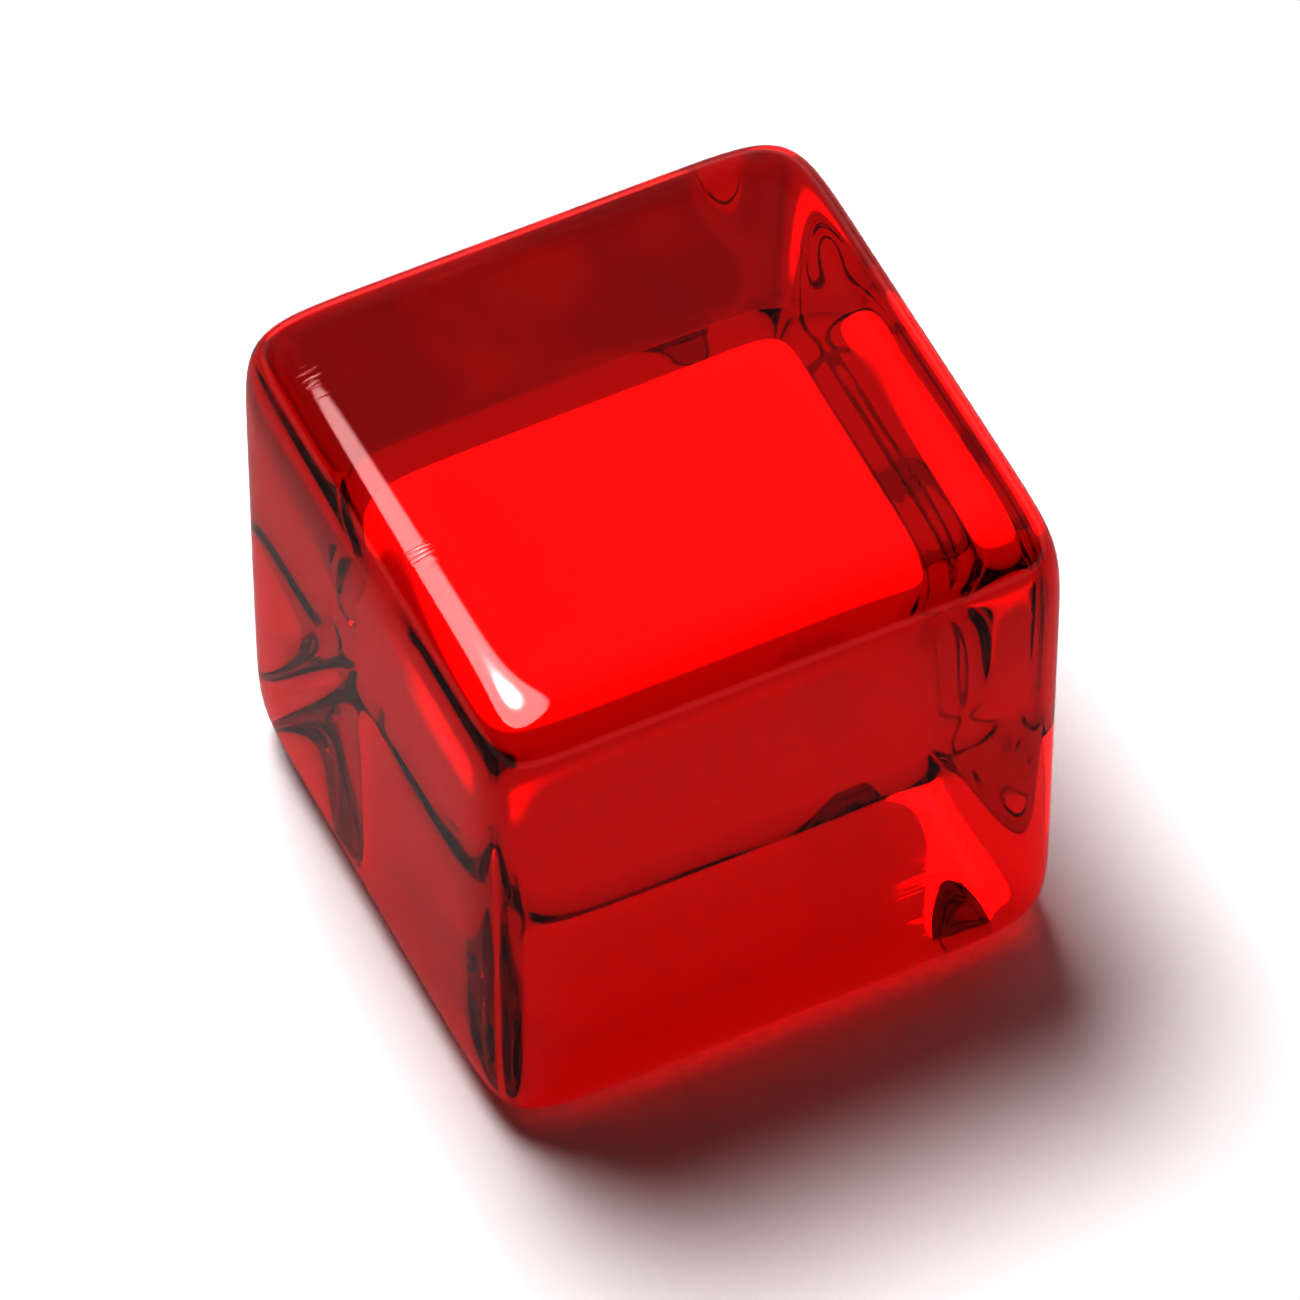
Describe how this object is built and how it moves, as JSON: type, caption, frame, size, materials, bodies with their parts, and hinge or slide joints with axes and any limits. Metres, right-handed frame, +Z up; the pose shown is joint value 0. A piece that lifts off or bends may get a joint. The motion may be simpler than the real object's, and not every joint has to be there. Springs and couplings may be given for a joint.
{
  "type": "blank die",
  "caption": "Clear red plastic die with rounded edges and corners and blank faces, thrown or placed as a counter in table games.",
  "frame": {"origin": "centre of the square that the die rests on", "axes": "+Z up out of the top face, +X out of the right face, +Y out of the back face; the cube's shape is the same along all three"},
  "size_m": [0.016, 0.016, 0.016],
  "materials": {
    "clear_red_acrylic": "transparent, polished, coloured all through"
  },
  "bodies": {
    "root": {"die_body": "clear_red_acrylic"}
  },
  "joints": []
}
